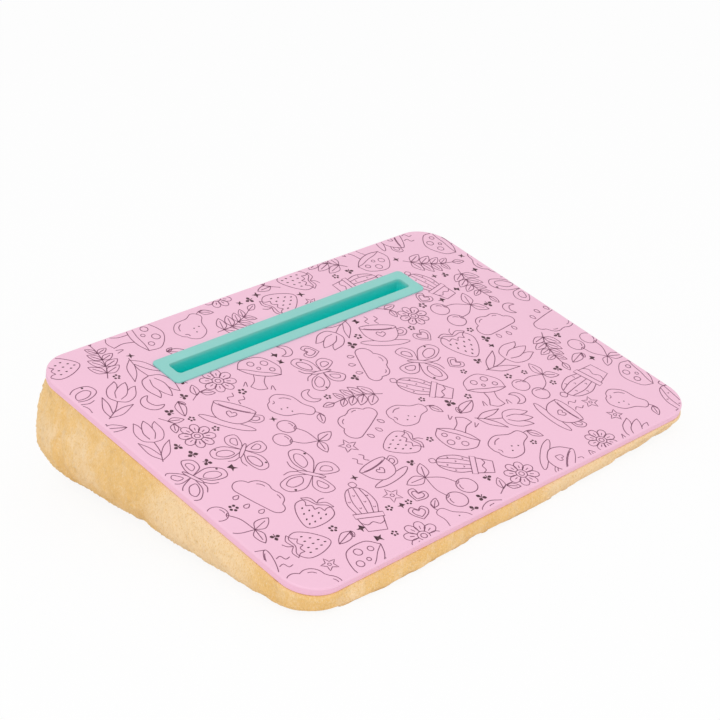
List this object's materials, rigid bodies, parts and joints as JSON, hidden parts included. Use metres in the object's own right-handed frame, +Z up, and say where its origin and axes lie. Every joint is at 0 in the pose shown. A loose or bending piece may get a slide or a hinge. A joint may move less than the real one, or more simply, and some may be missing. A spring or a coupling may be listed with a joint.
{
  "type": "lap desk",
  "caption": "Wedge-shaped lap desk: a rigid printed board with a moulded slot for a tablet, on a bead-filled plush cushion.",
  "frame": {"origin": "on the surface that the desk stands on, under the middle of its bounding box", "axes": "+Z up; +X to the user's right, along the board's long side; +Y to the back, where the wedge is tall"},
  "size_m": [0.4442, 0.3116, 0.096],
  "materials": {
    "printed_top": "satin",
    "edge_band": "satin",
    "fibreboard": "matte",
    "backing_paper": "matte",
    "mint_plastic": "satin",
    "tape": "matte",
    "tan_plush": "matte",
    "tan_cloth": "matte",
    "liner_cloth": "matte",
    "beads": "matte"
  },
  "bodies": {
    "root": {"top_sheet": "printed_top", "edge_band": "edge_band", "board_core": "fibreboard", "under_sheet": "backing_paper", "slot_tray": "mint_plastic", "hook_strip_front": "tape", "hook_strip_back": "tape", "hook_strip_left": "tape", "hook_strip_right": "tape", "loop_strip_front": "tape", "loop_strip_back": "tape", "loop_strip_left": "tape", "loop_strip_right": "tape", "cover_left": "tan_plush", "cover_right": "tan_plush", "cover_front": "tan_plush", "cover_back": "tan_plush", "cover_base": "tan_plush", "cover_top": "tan_cloth", "liner_top": "liner_cloth", "liner_lower": "liner_cloth", "bead_fill": "beads"}
  },
  "joints": []
}
